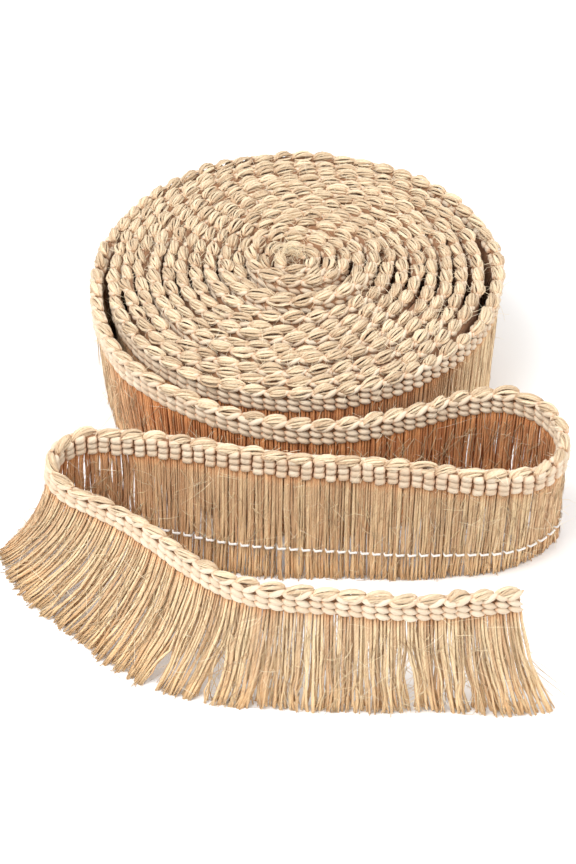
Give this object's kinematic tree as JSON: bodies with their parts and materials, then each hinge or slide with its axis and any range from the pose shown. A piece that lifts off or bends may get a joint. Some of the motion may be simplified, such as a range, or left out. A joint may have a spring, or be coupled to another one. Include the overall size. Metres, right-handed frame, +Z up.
{
  "type": "jute fringe trim",
  "caption": "Flat roll of jute fringe trim standing on its fringe, its loose end folded back and forth in front.",
  "frame": {"origin": "centre of the roll's flat foot, on the surface it stands on", "axes": "+Z up out of the roll's scalloped top, -Y towards the loose end that lies folded in front, +X towards the loop beside the roll"},
  "size_m": [0.2115, 0.26, 0.0614],
  "materials": {
    "roll_jute": "dry jute yarn, wound",
    "heading_jute": "dry jute yarn, woven",
    "fringe_jute": "dry jute yarn, loose"
  },
  "bodies": {
    "root": {"wound_roll": "roll_jute", "loose_heading": "heading_jute", "fringe_free_end": "fringe_jute", "fringe_front_middle": "fringe_jute", "fringe_front_slope": "fringe_jute", "fringe_front_left": "fringe_jute", "fringe_left_loop_front": "fringe_jute", "fringe_left_loop_back": "fringe_jute", "fringe_middle_left": "fringe_jute", "fringe_middle_right": "fringe_jute", "fringe_right_loop_front": "fringe_jute", "fringe_right_loop_middle": "fringe_jute", "fringe_right_loop_back": "fringe_jute", "fringe_back_right": "fringe_jute", "fringe_back_middle": "fringe_jute", "fringe_back_left": "fringe_jute", "fringe_roll_side": "fringe_jute"}
  },
  "joints": []
}
